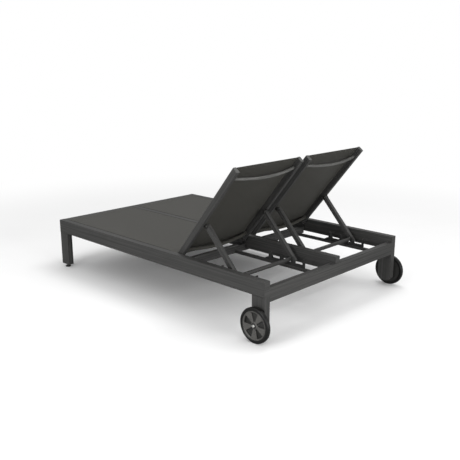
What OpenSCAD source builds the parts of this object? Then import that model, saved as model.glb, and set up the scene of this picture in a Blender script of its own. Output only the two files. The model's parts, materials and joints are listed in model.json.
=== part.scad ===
// Double reclining sun lounger: one tube frame on two legs and two wheels,
// two sling seats side by side, and two backrests that recline on their own.
// +Z is up, the foot end is at -Y, the head end is at +Y. Sizes are in mm.

/* [Frame] */
// Length of the side rails, foot to head
frame_l = 2000; // [1600:1:2400]
// Width over the two side rails
frame_w = 1320; // [1100:1:1600]
// Height of the side rails' top above the floor
rail_top = 353; // [300:1:420]
// Thickness of the side rails, foot rail, centre beam and legs
rail_t = 42; // [30:1:55]
// Height of the side rails' section
rail_h = 92; // [70:1:110]
// Wall of every frame tube
wall = 2; // [1.5:0.1:3]
// Rounding of the frame tubes' edges
edge_r = 3; // [2.5:0.1:5]
// Gap between the head rail's top and a backrest that lies flat over it
head_under = 3; // [2:0.5:10]
// Height of the head rail's section
head_h = 80; // [60:1:90]
// Thickness of the head rail
head_t = 40; // [30:1:50]

/* [Legs and feet] */
// Length of a foot leg's section along the lounger
foot_leg_l = 86; // [60:1:110]
// Length of a head leg's section along the lounger
head_leg_l = 93; // [70:1:120]
// Length of a head leg below the axle
leg_under = 60; // [50:1:75]
// Gap from the foot leg's end to the floor
foot_gap = 24; // [18:1:34]
// Diameter of a levelling foot
pad_d = 38; // [28:1:42]
// Height of a levelling foot's pad
pad_h = 10; // [6:1:14]
// Diameter of the levelling foot's stud
stud_d = 10; // [6:1:12]

/* [Wheels] */
// Outer radius of the tyre
wheel_r = 103; // [85:1:125]
// Width of the tyre
tyre_w = 25; // [20:1:34]
// Thickness of the tyre outside the rim
tyre_t = 20; // [8:1:26]
// Gap between the leg and the tyre
wheel_gap = 11; // [6:1:20]
// Diameter of the axle
axle_d = 12; // [8:1:16]
// Radius of the wheel's hub
hub_r = 18; // [15:1:26]
// Number of spokes
spokes = 5; // [3:1:8]
// Angle of one pocket between two spokes
pocket_turn = 40; // [20:1:46]
// Thickness of the web behind the pockets
web_t = 6; // [4:1:10]

/* [Mid rail and racks] */
// Distance of the backrest hinge from the head end
hinge_from_head = 740; // [700:1:800]
// Height of the mid rail's section
mid_h = 50; // [35:1:50]
// Thickness of the mid rail
mid_t = 40; // [30:1:50]
// Drop of the mid rail's underside below the side rails' underside
mid_drop = 18; // [10:1:26]
// Side of the square rack rails
rack_rail_s = 20; // [16:1:24]
// Distance from a backrest tube's middle to its rack's middle
rack_in = 66; // [58:1:80]
// Width of a rack across its teeth
rack_t = 14; // [8:1:18]
// Distance from one tooth to the next
tooth_pitch = 90.5; // [75:0.5:112]
// Number of teeth on each rack
teeth = 4; // [2:1:4]
// The tooth that holds the crossbar, counted from 0 at the foot end
held_by = 2; // [0:1:3]
// Height of the teeth above the tooth gaps
tooth_h = 39.5; // [30:0.5:42]
// Height of the rack's floor above its rail
rack_floor = 17.5; // [10:0.5:19]
// Distance from the hinge to the first tooth's face
tooth_y = 291.8; // [240:0.1:300]

/* [Backrests] */
// Angle of the backrest as it stands, from flat
back_angle = 51; // [51:1:51]
// Length of the backrest tubes above the hinge
back_l = 745; // [650:1:800]
// Depth of a backrest tube, front to back
back_d = 40; // [30:1:48]
// Width of a backrest tube
back_t = 25; // [20:1:28]
// Gap between a backrest and the rails beside it
back_gap = 7; // [5.5:0.5:14]
// Diameter of the bowed bars
bar_d = 18; // [14:1:22]
// Depth of the bars' bow
bow = 30; // [10:1:40]
// Distance of the lower bar from the hinge
low_bar_s = 56; // [45:1:90]
// Distance of the upper bar from the tubes' top end
top_bar_in = 69; // [50:1:120]
// Thickness of the sling fabric
sling_t = 4; // [2:0.5:5]
// Thickness of the tubes' end caps
cap_t = 3; // [2:0.5:5]

/* [Props] */
// Distance of the prop's pivot up the backrest tube
prop_s = 306; // [300:1:312]
// Distance of the prop's pivot behind the tube's back face
prop_drop = 12; // [11:0.5:16]
// Distance from the crossbar's middle to the face of the tooth that holds it
bar_back = 21.8; // [14:0.1:26]
// Gap between the crossbar and the floor of its rack
bar_gap = 1.5; // [1:0.5:6]
// Diameter of the crossbar
crossbar_d = 25; // [18:1:25]
// Depth of a strut
strut_d = 27; // [18:1:28]
// Width of a strut
strut_w = 26; // [18:1:28]
// Length of a strut past the crossbar's middle
strut_foot = 26; // [13:1:30]
// Diameter of the hinge and prop bolts
bolt_d = 10; // [6:0.5:10]

/* [Fits] */
// Radial gap of the running fits
fit = 0.05; // [0.02:0.01:0.1]
// Gap between soft parts and the tubes around them
soft_gap = 0.6; // [0.4:0.1:2]
// Gap between parts that move past each other
side_gap = 0.5; // [0.4:0.1:1.5]

/* [Hidden] */
$fn = 64;
rim_r = wheel_r - tyre_t;
wheel_over = wheel_r - head_leg_l / 2;
end_y = (frame_l - wheel_over) / 2;
foot_y = end_y - frame_l;
half_w = frame_w / 2;
inner_w = half_w - rail_t;
rail_z = rail_top - rail_h;
beam_x = rail_t / 2;
head_drop = back_d + head_under;
head_z = rail_top - head_drop - head_h;
head_y = end_y - head_t;
axle_y = end_y - head_leg_l / 2;
hinge_y = end_y - hinge_from_head;
hinge_z = rail_top - back_d / 2;
mid_z = rail_z - mid_drop;
mid_y = hinge_y + 2 - mid_t;
mid_top = mid_z + mid_h;
bay_x = (inner_w + beam_x) / 2;
bay_w = inner_w - beam_x;
tube_out = bay_w / 2 - back_gap - back_t / 2;
rack_x = tube_out - rack_in;
rack_top = mid_z + rack_rail_s;
floor_z = rack_top + rack_floor;
bar_z = floor_z + bar_gap + crossbar_d / 2;
seat_end = hinge_y - 24;
wheel_x = half_w + wheel_gap;
strut_x = tube_out - back_t / 2 - side_gap - strut_w / 2;
pin_r = bolt_d / 2;
prop_b = back_d / 2 + prop_drop;
top_bar_s = back_l - top_bar_in;
bar_y = tooth_y + held_by * tooth_pitch - bar_back;

// ---- shared shapes ----

// A rectangle with true round corners, its lower left corner at the origin
module round_rect(w, h, r) {
  translate([r, 0]) square([w - 2 * r, h]);
  translate([0, r]) square([w, h - 2 * r]);
  for (x = [r, w - r], y = [r, h - r]) translate([x, y]) circle(r);
}

// A tube's section: a rounded rectangle with a rounded hollow
module tube_section(w, h) {
  difference() {
    round_rect(w, h, edge_r);
    translate([wall, wall]) round_rect(w - 2 * wall, h - 2 * wall, edge_r - wall);
  }
}

// A tube along Y from y0, over the section from x0, z0
module tube_y(x0, y0, z0, w, len, h) {
  translate([x0, y0 + len, z0])
    rotate([90, 0, 0])
      linear_extrude(len) tube_section(w, h);
}

// A tube along X from x0
module tube_x(x0, y0, z0, len, w, h) {
  translate([x0, y0, z0])
    rotate([90, 0, 90])
      linear_extrude(len) tube_section(w, h);
}

// A round bar along X from x0, its middle at y, z
module rod_x(x0, y, z, len, r) {
  translate([x0, y, z])
    rotate([0, 90, 0])
      cylinder(h = len, r = r);
}

// The children on one side: 1 is the left, +X, and -1 the right
module on_side(side) {
  if (side > 0) children();
  if (side < 0) mirror([1, 0, 0]) children();
}

// The backrest's own frame: X from the bay's middle, Y up the tubes from the hinge,
// Z out of the front face
module back_frame(side) {
  on_side(side)
    translate([bay_x, hinge_y, hinge_z])
      rotate([back_angle, 0, 0])
        children();
}

// ---- frame ----

// The side rail is one tube along the whole lounger
module side_rail(side) {
  color("dimgray")
    on_side(side)
      tube_y(inner_w, foot_y + cap_t, rail_z, rail_t, frame_l - 2 * cap_t, rail_h);
}
module side_rail_left() { side_rail(1); }
module side_rail_right() { side_rail(-1); }

// The foot rail closes the foot end between the side rails
module foot_rail() {
  color("dimgray")
    tube_x(-inner_w, foot_y, rail_z, 2 * inner_w, rail_t, rail_h);
}

// The head rail is set lower, so that a flat backrest can lie on it
module head_rail() {
  color("dimgray")
    tube_x(-inner_w, head_y, head_z, 2 * inner_w, head_t, head_h);
}

// The centre beam sits over the mid rail and the head rail
module centre_beam() {
  color("dimgray")
    difference() {
      tube_y(-beam_x, foot_y + rail_t, rail_z, rail_t, frame_l - rail_t - cap_t, rail_h);
      translate([-beam_x - 1, mid_y, rail_z - 1]) cube([rail_t + 2, mid_t, mid_top - rail_z + 1]);
      translate([-beam_x - 1, head_y, rail_z - 1])
        cube([rail_t + 2, head_t + 1, rail_h - head_drop + 1]);
    }
}

// The mid rail carries the hinges and the racks
module mid_rail() {
  color("dimgray")
    tube_x(-inner_w, mid_y, mid_z, 2 * inner_w, mid_t, mid_h);
}

// Two low tubes brace each seat bay under the sling
brace_w = 30;
brace_h = 30;
brace_gap = (seat_end - foot_y) / 3;
module seat_braces(side) {
  color("dimgray")
    on_side(side)
      for (i = [1, 2])
        tube_x(beam_x, foot_y + i * brace_gap, rail_z + 2, bay_w, brace_w, brace_h);
}
module seat_braces_left() { seat_braces(1); }
module seat_braces_right() { seat_braces(-1); }

// Two square tubes in each head bay carry the racks
rack_rail_y = mid_y + mid_t;
module rack_rails(side) {
  color("dimgray")
    on_side(side)
      for (s = [-1, 1])
        tube_y(
          bay_x + s * rack_x - rack_rail_s / 2, rack_rail_y, mid_z,
          rack_rail_s, head_y - rack_rail_y, rack_rail_s
        );
}
module rack_rails_left() { rack_rails(1); }
module rack_rails_right() { rack_rails(-1); }

// One tooth: a straight face to the foot, a tip, and a back that slopes to the head.
// The last tooth ends the rack, so its back is short and steep.
tip_l = 4;
tooth_back = 28;
last_back = 11;
module tooth_2d(back) {
  polygon([
    [0, -1], [0, tooth_h - 3], [1, tooth_h - 1], [3, tooth_h], [4 + tip_l, tooth_h],
    [back, back > last_back ? 3 : tooth_h * 0.6], [back, -1]
  ]);
}

// A rack's outline: a ramp at the foot end, a floor, and the teeth
ramp_l = 32;
module rack_2d() {
  translate([-10 - ramp_l, 0])
    polygon([
      [0, 0], [ramp_l, rack_floor],
      [ramp_l + 10 + (teeth - 1) * tooth_pitch + last_back, rack_floor],
      [ramp_l + 10 + (teeth - 1) * tooth_pitch + last_back, 0]
    ]);
  for (i = [0 : teeth - 1])
    translate([i * tooth_pitch, rack_floor]) tooth_2d(i < teeth - 1 ? tooth_back : last_back);
}

// A toothed rack, moulded in one piece, stands on each rack rail
module racks(side) {
  color("black")
    on_side(side)
      for (s = [-1, 1])
        translate([bay_x + s * rack_x - rack_t / 2, hinge_y + tooth_y, rack_top])
          rotate([90, 0, 90])
            linear_extrude(rack_t) rack_2d();
}
module racks_left() { racks(1); }
module racks_right() { racks(-1); }

// The foot leg is a tube under the side rail, with a plug that takes the stud
plug_h = 12;
module foot_leg(side) {
  color("dimgray")
    on_side(side)
      translate([inner_w, foot_y, foot_gap])
        difference() {
          union() {
            linear_extrude(rail_z - foot_gap) tube_section(rail_t, foot_leg_l);
            translate([wall / 2, wall / 2, 0])
              cube([rail_t - wall, foot_leg_l - wall, plug_h]);
          }
          translate([rail_t / 2, foot_leg_l / 2, -1]) cylinder(h = plug_h + 2, r = stud_d / 2 + fit);
        }
}
module foot_leg_left() { foot_leg(1); }
module foot_leg_right() { foot_leg(-1); }

// The pad rests on the floor, and its stud turns in the leg's plug
module levelling_foot(side) {
  color("black")
    on_side(side)
      translate([half_w - rail_t / 2, foot_y + foot_leg_l / 2, 0]) {
        rotate_extrude()
          polygon([
            [0, 0], [pad_d / 2 - 2, 0], [pad_d / 2, 2], [pad_d / 2, pad_h - 3],
            [pad_d / 2 - 3, pad_h], [stud_d, pad_h], [0, pad_h]
          ]);
        cylinder(h = foot_gap - side_gap, r = stud_d * 0.75);
        cylinder(h = foot_gap + plug_h + 8, r = stud_d / 2);
      }
}
module levelling_foot_left() { levelling_foot(1); }
module levelling_foot_right() { levelling_foot(-1); }

// The head leg is a tube with a round closed end, which has a blind bore for the axle
axle_in = 8;
leg_round = 30;
module head_leg_outline() {
  translate([0, leg_round - leg_under]) square([head_leg_l, rail_z - wheel_r + leg_under - leg_round]);
  translate([leg_round, -leg_under]) square([head_leg_l - 2 * leg_round, leg_under]);
  for (y = [leg_round, head_leg_l - leg_round])
    translate([y, leg_round - leg_under]) circle(leg_round);
}
module head_leg(side) {
  color("dimgray")
    on_side(side)
      translate([inner_w, end_y - head_leg_l, wheel_r])
        difference() {
          rotate([90, 0, 90]) linear_extrude(rail_t) head_leg_outline();
          translate([wall, wall, axle_d + 8])
            cube([rail_t - 2 * wall, head_leg_l - 2 * wall, rail_z]);
          rod_x(axle_in, head_leg_l / 2, 0, rail_t, axle_d / 2);
        }
}
module head_leg_left() { head_leg(1); }
module head_leg_right() { head_leg(-1); }

// Plain caps close the side rails' ends and the centre beam's head end
module rail_end_caps() {
  color("gray") {
    for (x = [-half_w, inner_w], y = [foot_y + cap_t, end_y])
      translate([x, y, rail_z])
        rotate([90, 0, 0])
          linear_extrude(cap_t) round_rect(rail_t, rail_h, edge_r);
    translate([-beam_x, end_y, rail_top - head_drop])
      rotate([90, 0, 0])
        linear_extrude(cap_t) round_rect(rail_t, head_drop, edge_r);
  }
}

// The axle is a bolt tight in the leg's closed end, with its head outside the wheel
axle_end = wheel_x + tyre_w + 4;
module wheel_axles() {
  color("silver")
    for (s = [-1, 1])
      on_side(s) {
        rod_x(inner_w + axle_in, axle_y, wheel_r, axle_end - inner_w - axle_in, axle_d / 2);
        translate([axle_end, axle_y, wheel_r])
          rotate([0, 90, 0])
            cylinder(h = 3, r1 = axle_d * 0.72, r2 = axle_d * 0.62);
      }
}

// A bracket plate beside each backrest tube stands on the mid rail
bracket_t = 4;
bracket_w = 30;
bracket_x = tube_out - back_t / 2 - side_gap - bracket_t;
module hinge_brackets() {
  color("dimgray")
    for (side = [-1, 1], s = [-1, 1])
      on_side(side)
        translate([bay_x, 0, 0])
          on_side(s)
            translate([bracket_x, hinge_y, 0])
              difference() {
                union() {
                  translate([0, -bracket_w / 2 - 4, mid_top])
                    cube([bracket_t, bracket_w, hinge_z - mid_top]);
                  rod_x(0, 0, hinge_z, bracket_t, bracket_w / 2 - 4);
                  translate([-18, -bracket_w / 2 - 4, mid_top]) cube([18 + bracket_t, bracket_w, 3]);
                }
                rod_x(-1, 0, hinge_z, bracket_t + 2, pin_r);
              }
}

// Each hinge bolt is tight in its bracket and turns in the backrest tube
module hinge_pins() {
  color("silver")
    for (side = [-1, 1], s = [-1, 1])
      on_side(side)
        translate([bay_x, 0, 0])
          on_side(s) {
            rod_x(bracket_x - 5, hinge_y, hinge_z, 5 + bracket_t + side_gap + back_t + side_gap, pin_r);
            rod_x(bracket_x - 5, hinge_y, hinge_z, 5, pin_r * 1.7);
            rod_x(tube_out + back_t / 2 + side_gap, hinge_y, hinge_z, 4, pin_r * 1.6);
          }
}

// Low rubber buffers on the head rail meet the flat backrest's tubes
module buffers() {
  color("black")
    for (side = [-1, 1], s = [-1, 1])
      translate([side * bay_x + s * tube_out, end_y - head_t / 2, rail_top - head_drop])
        cylinder(h = hinge_z - back_d / 2 - (rail_top - head_drop) - 0.4, r = 8);
}

// A round bar holds the head end of each seat sling
end_bar_r = 9;
module seat_end_bars() {
  color("dimgray")
    for (s = [-1, 1])
      on_side(s)
        rod_x(beam_x, seat_end - end_bar_r, rail_top - 8 - end_bar_r, bay_w, end_bar_r);
}

// The seat sling is stretched between the rails, almost level with their top
module seat_sling(side) {
  color("darkolivegreen")
    on_side(side)
      translate([beam_x + soft_gap, foot_y + rail_t + soft_gap, rail_top - 0.5 - sling_t])
        cube([bay_w - 2 * soft_gap, seat_end - foot_y - rail_t - 2 * soft_gap, sling_t]);
}
module seat_sling_left() { seat_sling(1); }
module seat_sling_right() { seat_sling(-1); }

// ---- wheels ----

// The tyre is a ring with a rounded tread
module tyre(side) {
  color("black")
    on_side(side)
      translate([wheel_x, axle_y, wheel_r])
        rotate([0, 90, 0])
          rotate_extrude($fn = 96)
            translate([rim_r, 0]) {
              difference() {
                union() {
                  square([wheel_r - rim_r - 5, tyre_w]);
                  translate([0, 5]) square([wheel_r - rim_r, tyre_w - 10]);
                  for (y = [5, tyre_w - 5]) translate([wheel_r - rim_r - 5, y]) circle(5);
                }
                translate([-1, -1]) square([1, tyre_w + 2]);
              }
            }
}
module tyre_left() { tyre(1); }
module tyre_right() { tyre(-1); }

// The pockets between the spokes, as sectors of a ring
module pockets_2d() {
  for (i = [0 : spokes - 1])
    rotate(90 + i * 360 / spokes)
      intersection() {
        difference() {
          circle(rim_r - 12);
          circle(hub_r + 4);
        }
        polygon([[0, 0], [rim_r, -rim_r * tan(pocket_turn / 2)], [rim_r, rim_r * tan(pocket_turn / 2)]]);
      }
}

// The wheel: a closed inner web, spokes with blind pockets between them, a rim and a hub,
// moulded in one piece
hub_w = tyre_w - 2;
module wheel(side) {
  color("dimgray")
    on_side(side)
      translate([wheel_x + 1, axle_y, wheel_r])
        rotate([90, 0, 90])
          difference() {
            cylinder(h = hub_w, r = rim_r, $fn = 96);
            translate([0, 0, hub_w - 2])
              difference() {
                cylinder(h = 3, r = rim_r - 4, $fn = 96);
                translate([0, 0, -1]) cylinder(h = 5, r = hub_r);
              }
            translate([0, 0, web_t]) linear_extrude(hub_w) pockets_2d();
            translate([0, 0, -1]) cylinder(h = hub_w + 2, r = axle_d / 2 + 2.5);
          }
}
module wheel_left() { wheel(1); }
module wheel_right() { wheel(-1); }

// A plain bush lines the hub and turns on the axle
module wheel_bush(side) {
  color("white")
    on_side(side)
      translate([wheel_x + 1, axle_y, wheel_r])
        rotate([0, 90, 0])
          difference() {
            cylinder(h = hub_w, r = axle_d / 2 + 2.5);
            translate([0, 0, -1]) cylinder(h = hub_w + 2, r = axle_d / 2 + fit);
          }
}
module wheel_bush_left() { wheel_bush(1); }
module wheel_bush_right() { wheel_bush(-1); }

// A raised collar covers the hub's outer face around the axle's end
module hub_cap(side) {
  color("gray")
    on_side(side)
      translate([wheel_x + 1 + hub_w, axle_y, wheel_r])
        rotate([0, 90, 0])
          rotate_extrude()
            polygon([
              [axle_d / 2 + 0.4, 0], [hub_r - 2, 0], [hub_r - 4, 3], [axle_d / 2 + 0.4, 4 - side_gap]
            ]);
}
module hub_cap_left() { hub_cap(1); }
module hub_cap_right() { hub_cap(-1); }

// ---- backrests ----

// A side tube, round at the hinge and straight at the top
module back_tube(side, s) {
  color("dimgray")
    back_frame(side)
      translate([s * tube_out - back_t / 2, 0, 0])
        difference() {
          union() {
            rotate([0, 90, 0]) cylinder(h = back_t, r = back_d / 2);
            translate([0, back_l, -back_d / 2])
              rotate([90, 0, 0])
                linear_extrude(back_l) round_rect(back_t, back_d, edge_r);
          }
          translate([wall, back_l + 1, -back_d / 2 + wall])
            rotate([90, 0, 0])
              linear_extrude(back_l - 30)
                round_rect(back_t - 2 * wall, back_d - 2 * wall, edge_r - wall);
          rod_x(-1, 0, 0, back_t + 2, pin_r + fit);
        }
}
module back_tube_outer_left() { back_tube(1, 1); }
module back_tube_inner_left() { back_tube(1, -1); }
module back_tube_outer_right() { back_tube(-1, 1); }
module back_tube_inner_right() { back_tube(-1, -1); }

// A bar bowed to the back between the two tubes: an arc with short straight ends
bar_half = tube_out - back_t / 2;
bow_r = (bar_half * bar_half + bow * bow) / (2 * bow);
bow_half_angle = asin(bar_half / bow_r);
module bowed_bar(side, at) {
  color("dimgray")
    back_frame(side)
      translate([0, at, bow_r - bow])
        rotate([90, 0, 0])
          rotate([0, 0, -90 - bow_half_angle])
            intersection() {
              rotate_extrude(angle = 2 * bow_half_angle, $fn = 180)
                translate([bow_r, 0]) circle(bar_d / 2);
              rotate([0, 0, bow_half_angle])
                translate([bow_r / 2, -bar_half, -bar_d])
                  cube([bow_r, 2 * bar_half, 2 * bar_d]);
            }
}
module back_top_bar_left() { bowed_bar(1, top_bar_s); }
module back_top_bar_right() { bowed_bar(-1, top_bar_s); }
module back_low_bar_left() { bowed_bar(1, low_bar_s); }
module back_low_bar_right() { bowed_bar(-1, low_bar_s); }

// The back sling is stretched between the tubes near their front face
sling_low = 30;
sling_front = back_d / 2 - 3;
module back_sling(side) {
  color("darkolivegreen")
    back_frame(side)
      translate([-bar_half + soft_gap, sling_low, sling_front - sling_t])
        cube([2 * (bar_half - soft_gap), back_l + cap_t - 1 - sling_low, sling_t]);
}
module back_sling_left() { back_sling(1); }
module back_sling_right() { back_sling(-1); }

// Plain caps close the tubes' top ends
module back_caps(side) {
  color("gray")
    back_frame(side)
      for (s = [-1, 1])
        translate([s * tube_out - back_t / 2, back_l + cap_t, -back_d / 2])
          rotate([90, 0, 0])
            linear_extrude(cap_t) round_rect(back_t, back_d, edge_r);
}
module back_caps_left() { back_caps(1); }
module back_caps_right() { back_caps(-1); }

// One lug on the back of each tube, at its inner edge, holds a strut's top end
lug_r = prop_drop;
lug_t = 6;
module prop_lugs(side) {
  color("black")
    back_frame(side)
      for (s = [-1, 1])
        on_side(s)
          translate([bar_half, prop_s, 0])
            difference() {
              union() {
                translate([0, -lug_r, -prop_b]) cube([lug_t, 2 * lug_r, prop_b - back_d / 2]);
                rod_x(0, 0, -prop_b, lug_t, lug_r);
              }
              rod_x(-1, 0, -prop_b, lug_t + 2, pin_r);
            }
}
module prop_lugs_left() { prop_lugs(1); }
module prop_lugs_right() { prop_lugs(-1); }

// A bolt through each lug and its strut, with a low round head at both ends
bolt_head = 3;
module prop_bolts(side) {
  color("silver")
    back_frame(side)
      for (s = [-1, 1])
        on_side(s) {
          rod_x(bar_half - 2 * side_gap - strut_w, prop_s, -prop_b, 2 * side_gap + strut_w + lug_t, pin_r);
          rod_x(bar_half + lug_t, prop_s, -prop_b, bolt_head, pin_r * 2);
          rod_x(bar_half - 2 * side_gap - strut_w - bolt_head, prop_s, -prop_b, bolt_head, pin_r * 2);
        }
}
module prop_bolts_left() { prop_bolts(1); }
module prop_bolts_right() { prop_bolts(-1); }

// ---- props ----

// The pivot's place beside the frame, worked out from the backrest's angle
prop_y = hinge_y + prop_s * cos(back_angle) + prop_b * sin(back_angle);
prop_z = hinge_z + prop_s * sin(back_angle) - prop_b * cos(back_angle);
crossbar_y = hinge_y + bar_y;
strut_l = sqrt(pow(crossbar_y - prop_y, 2) + pow(bar_z - prop_z, 2));
strut_turn = atan2(bar_z - prop_z, crossbar_y - prop_y);

// The prop's own frame: Y runs down a strut from its pivot
module prop_frame(side) {
  on_side(side)
    translate([bay_x, prop_y, prop_z])
      rotate([strut_turn, 0, 0])
        children();
}

// The two struts of one prop, each beside its tube, with a round top end, a bore at the
// pivot, and a square foot that goes on past the crossbar
module struts(side) {
  color("dimgray")
    prop_frame(side)
      for (s = [-1, 1])
        translate([s * strut_x - strut_w / 2, 0, 0])
          difference() {
            union() {
              translate([0, 0, -strut_d / 2]) cube([strut_w, strut_l + strut_foot, strut_d]);
              rod_x(0, 0, 0, strut_w, strut_d / 2);
            }
            rod_x(-1, 0, 0, strut_w + 2, pin_r + fit);
            rod_x(-1, strut_l, 0, strut_w + 2, pin_r * 0.8);
          }
}
module struts_left() { struts(1); }
module struts_right() { struts(-1); }

// A bolt through each strut's low end, with its head outside
module strut_bolts(side) {
  color("silver")
    prop_frame(side)
      for (s = [-1, 1])
        on_side(s) {
          rod_x(strut_x - strut_w / 2, strut_l, 0, strut_w, pin_r * 0.8);
          rod_x(strut_x + strut_w / 2, strut_l, 0, bolt_head, pin_r * 1.4);
        }
}
module strut_bolts_left() { strut_bolts(1); }
module strut_bolts_right() { strut_bolts(-1); }

// The crossbar lies in the racks between the two struts
module crossbar(side) {
  color("gray")
    on_side(side)
      difference() {
        rod_x(
          bay_x - strut_x + strut_w / 2 + side_gap, crossbar_y, bar_z,
          2 * (strut_x - strut_w / 2 - side_gap), crossbar_d / 2
        );
        for (s = [-1, 1])
          translate([bay_x, 0, 0])
            on_side(s)
              rod_x(strut_x - strut_w / 2 - 40, crossbar_y, bar_z, 50, crossbar_d / 2 - wall);
      }
}
module crossbar_left() { crossbar(1); }
module crossbar_right() { crossbar(-1); }

side_rail_left();
side_rail_right();
foot_rail();
head_rail();
centre_beam();
mid_rail();
seat_braces_left();
seat_braces_right();
rack_rails_left();
rack_rails_right();
racks_left();
racks_right();
foot_leg_left();
foot_leg_right();
head_leg_left();
head_leg_right();
rail_end_caps();
wheel_axles();
hinge_brackets();
hinge_pins();
buffers();
seat_end_bars();
seat_sling_left();
seat_sling_right();
levelling_foot_left();
levelling_foot_right();
tyre_left();
wheel_left();
wheel_bush_left();
hub_cap_left();
tyre_right();
wheel_right();
wheel_bush_right();
hub_cap_right();
back_tube_outer_left();
back_tube_inner_left();
back_top_bar_left();
back_low_bar_left();
back_sling_left();
back_caps_left();
prop_lugs_left();
prop_bolts_left();
back_tube_outer_right();
back_tube_inner_right();
back_top_bar_right();
back_low_bar_right();
back_sling_right();
back_caps_right();
prop_lugs_right();
prop_bolts_right();
struts_left();
struts_right();
strut_bolts_left();
strut_bolts_right();
crossbar_left();
crossbar_right();
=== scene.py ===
# %% [markdown]
# # A double sun lounger
# The lounger is a low frame of aluminium tube with two sling seats and two backrests
# that recline separately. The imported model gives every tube, bolt and plate in its real
# place, in metres. This script gives them their finishes and makes the pieces that a CAD
# solid can only stand in for: the stretched slings with their hems and stitches, the
# moulded wheels, the tyres and the bolt heads.

# %% Load the frame
import json
import math

import bmesh
import bpy
import numpy as np
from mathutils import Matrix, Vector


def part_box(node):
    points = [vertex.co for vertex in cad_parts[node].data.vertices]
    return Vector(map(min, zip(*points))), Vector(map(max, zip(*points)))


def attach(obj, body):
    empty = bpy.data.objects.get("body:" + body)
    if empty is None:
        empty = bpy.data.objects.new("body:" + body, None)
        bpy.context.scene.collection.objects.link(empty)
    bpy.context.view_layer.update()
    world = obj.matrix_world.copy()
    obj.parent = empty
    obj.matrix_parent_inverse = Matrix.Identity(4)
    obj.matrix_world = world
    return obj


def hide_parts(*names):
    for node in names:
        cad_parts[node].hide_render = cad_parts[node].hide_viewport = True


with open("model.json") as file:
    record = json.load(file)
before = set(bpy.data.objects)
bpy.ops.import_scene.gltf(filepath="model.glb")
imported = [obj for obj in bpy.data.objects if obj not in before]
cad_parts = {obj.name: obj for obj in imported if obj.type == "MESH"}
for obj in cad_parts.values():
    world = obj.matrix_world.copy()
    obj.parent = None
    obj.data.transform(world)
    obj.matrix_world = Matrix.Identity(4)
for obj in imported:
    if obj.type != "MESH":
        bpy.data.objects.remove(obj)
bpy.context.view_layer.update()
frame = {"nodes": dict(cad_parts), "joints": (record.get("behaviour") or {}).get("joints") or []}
NODES = frame["nodes"]

# %% [markdown]
# ## Places
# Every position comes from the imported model: a node's box gives its two corners, and a
# joint gives the line it turns about. The backrest has its own directions: across, up
# along its tubes, and out of its front face.

# %% Read the places
JOINTS = {j["name"]: j for j in frame["joints"]}
SIDES = {"left": 1.0, "right": -1.0}
hinge = np.array(JOINTS["backrest_hinge_left"]["pos_m"])
recline = -JOINTS["backrest_hinge_left"]["range_deg"][0]
bay_x = float(hinge[0])
up = np.array([0.0, math.cos(math.radians(recline)), math.sin(math.radians(recline))])
out = np.array([0.0, -up[2], up[1]])
across = np.array([1.0, 0.0, 0.0])


def corners(node):
    """The lowest and highest corner of a CAD node, as arrays."""
    low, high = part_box(node)
    return np.array(low), np.array(high)


def on_back(points, side):
    """Takes points given as (across, up, out) from the hinge to their place in the frame.

    Place = hinge + across * x + up * s + out * n, then mirrored for the right side.
    """
    points = np.asarray(points, float)
    place = hinge + points[..., :1] * across + points[..., 1:2] * up + points[..., 2:3] * out
    return place * np.array([side, 1.0, 1.0])


print("recline", recline, "degrees; bay middle at", round(bay_x, 4), "m")

# %% [markdown]
# ## Helpers for surfaces
# Each new piece is a grid of points worked out as whole arrays: a shape is a function of
# two parameters. One function joins the grid's rows and columns into faces, closes it
# where it runs round, and stores the two parameters as a UV map in metres, so a weave
# can follow the cloth.

# %% Grid to mesh


def grid_faces(rows, columns, round_rows=False, round_columns=False, start=0):
    """Four-sided faces between neighbours on a grid, with the last joined to the first
    where it runs round."""
    i = np.arange(rows if round_rows else rows - 1)
    j = np.arange(columns if round_columns else columns - 1)
    i, j = np.meshgrid(i, j, indexing="ij")
    i2, j2 = (i + 1) % rows, (j + 1) % columns
    faces = np.stack([i * columns + j, i2 * columns + j, i2 * columns + j2, i * columns + j2], -1)
    return faces.reshape(-1, 4) + start


def make_piece(name, points, faces, uv=None, smooth=True):
    """Puts points and four-sided faces into a new mesh object at the origin."""
    points = np.asarray(points, np.float32).reshape(-1, 3)
    faces = np.asarray(faces, np.int32).reshape(-1, 4)
    mesh = bpy.data.meshes.new(name)
    mesh.vertices.add(len(points))
    mesh.vertices.foreach_set("co", points.ravel())
    mesh.loops.add(faces.size)
    mesh.loops.foreach_set("vertex_index", faces.ravel())
    mesh.polygons.add(len(faces))
    mesh.polygons.foreach_set("loop_start", np.arange(0, faces.size, 4, dtype=np.int32))
    mesh.polygons.foreach_set("loop_total", np.full(len(faces), 4, np.int32))
    if uv is not None:
        layer = mesh.uv_layers.new(name="UVMap")
        corner_uv = np.asarray(uv, np.float32).reshape(-1, 2)[faces.ravel()]
        layer.data.foreach_set("uv", corner_uv.ravel())
    mesh.update(calc_edges=True)
    mesh.validate()
    mesh.polygons.foreach_set("use_smooth", np.full(len(mesh.polygons), smooth))
    piece = bpy.data.objects.new(name, mesh)
    bpy.context.scene.collection.objects.link(piece)
    return piece


def face_out(piece):
    """Turns every face outwards, once the points that coincide are merged."""
    work = bmesh.new()
    work.from_mesh(piece.data)
    bmesh.ops.remove_doubles(work, verts=work.verts, dist=1e-6)
    bmesh.ops.recalc_face_normals(work, faces=work.faces)
    work.to_mesh(piece.data)
    work.free()
    return piece


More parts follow.
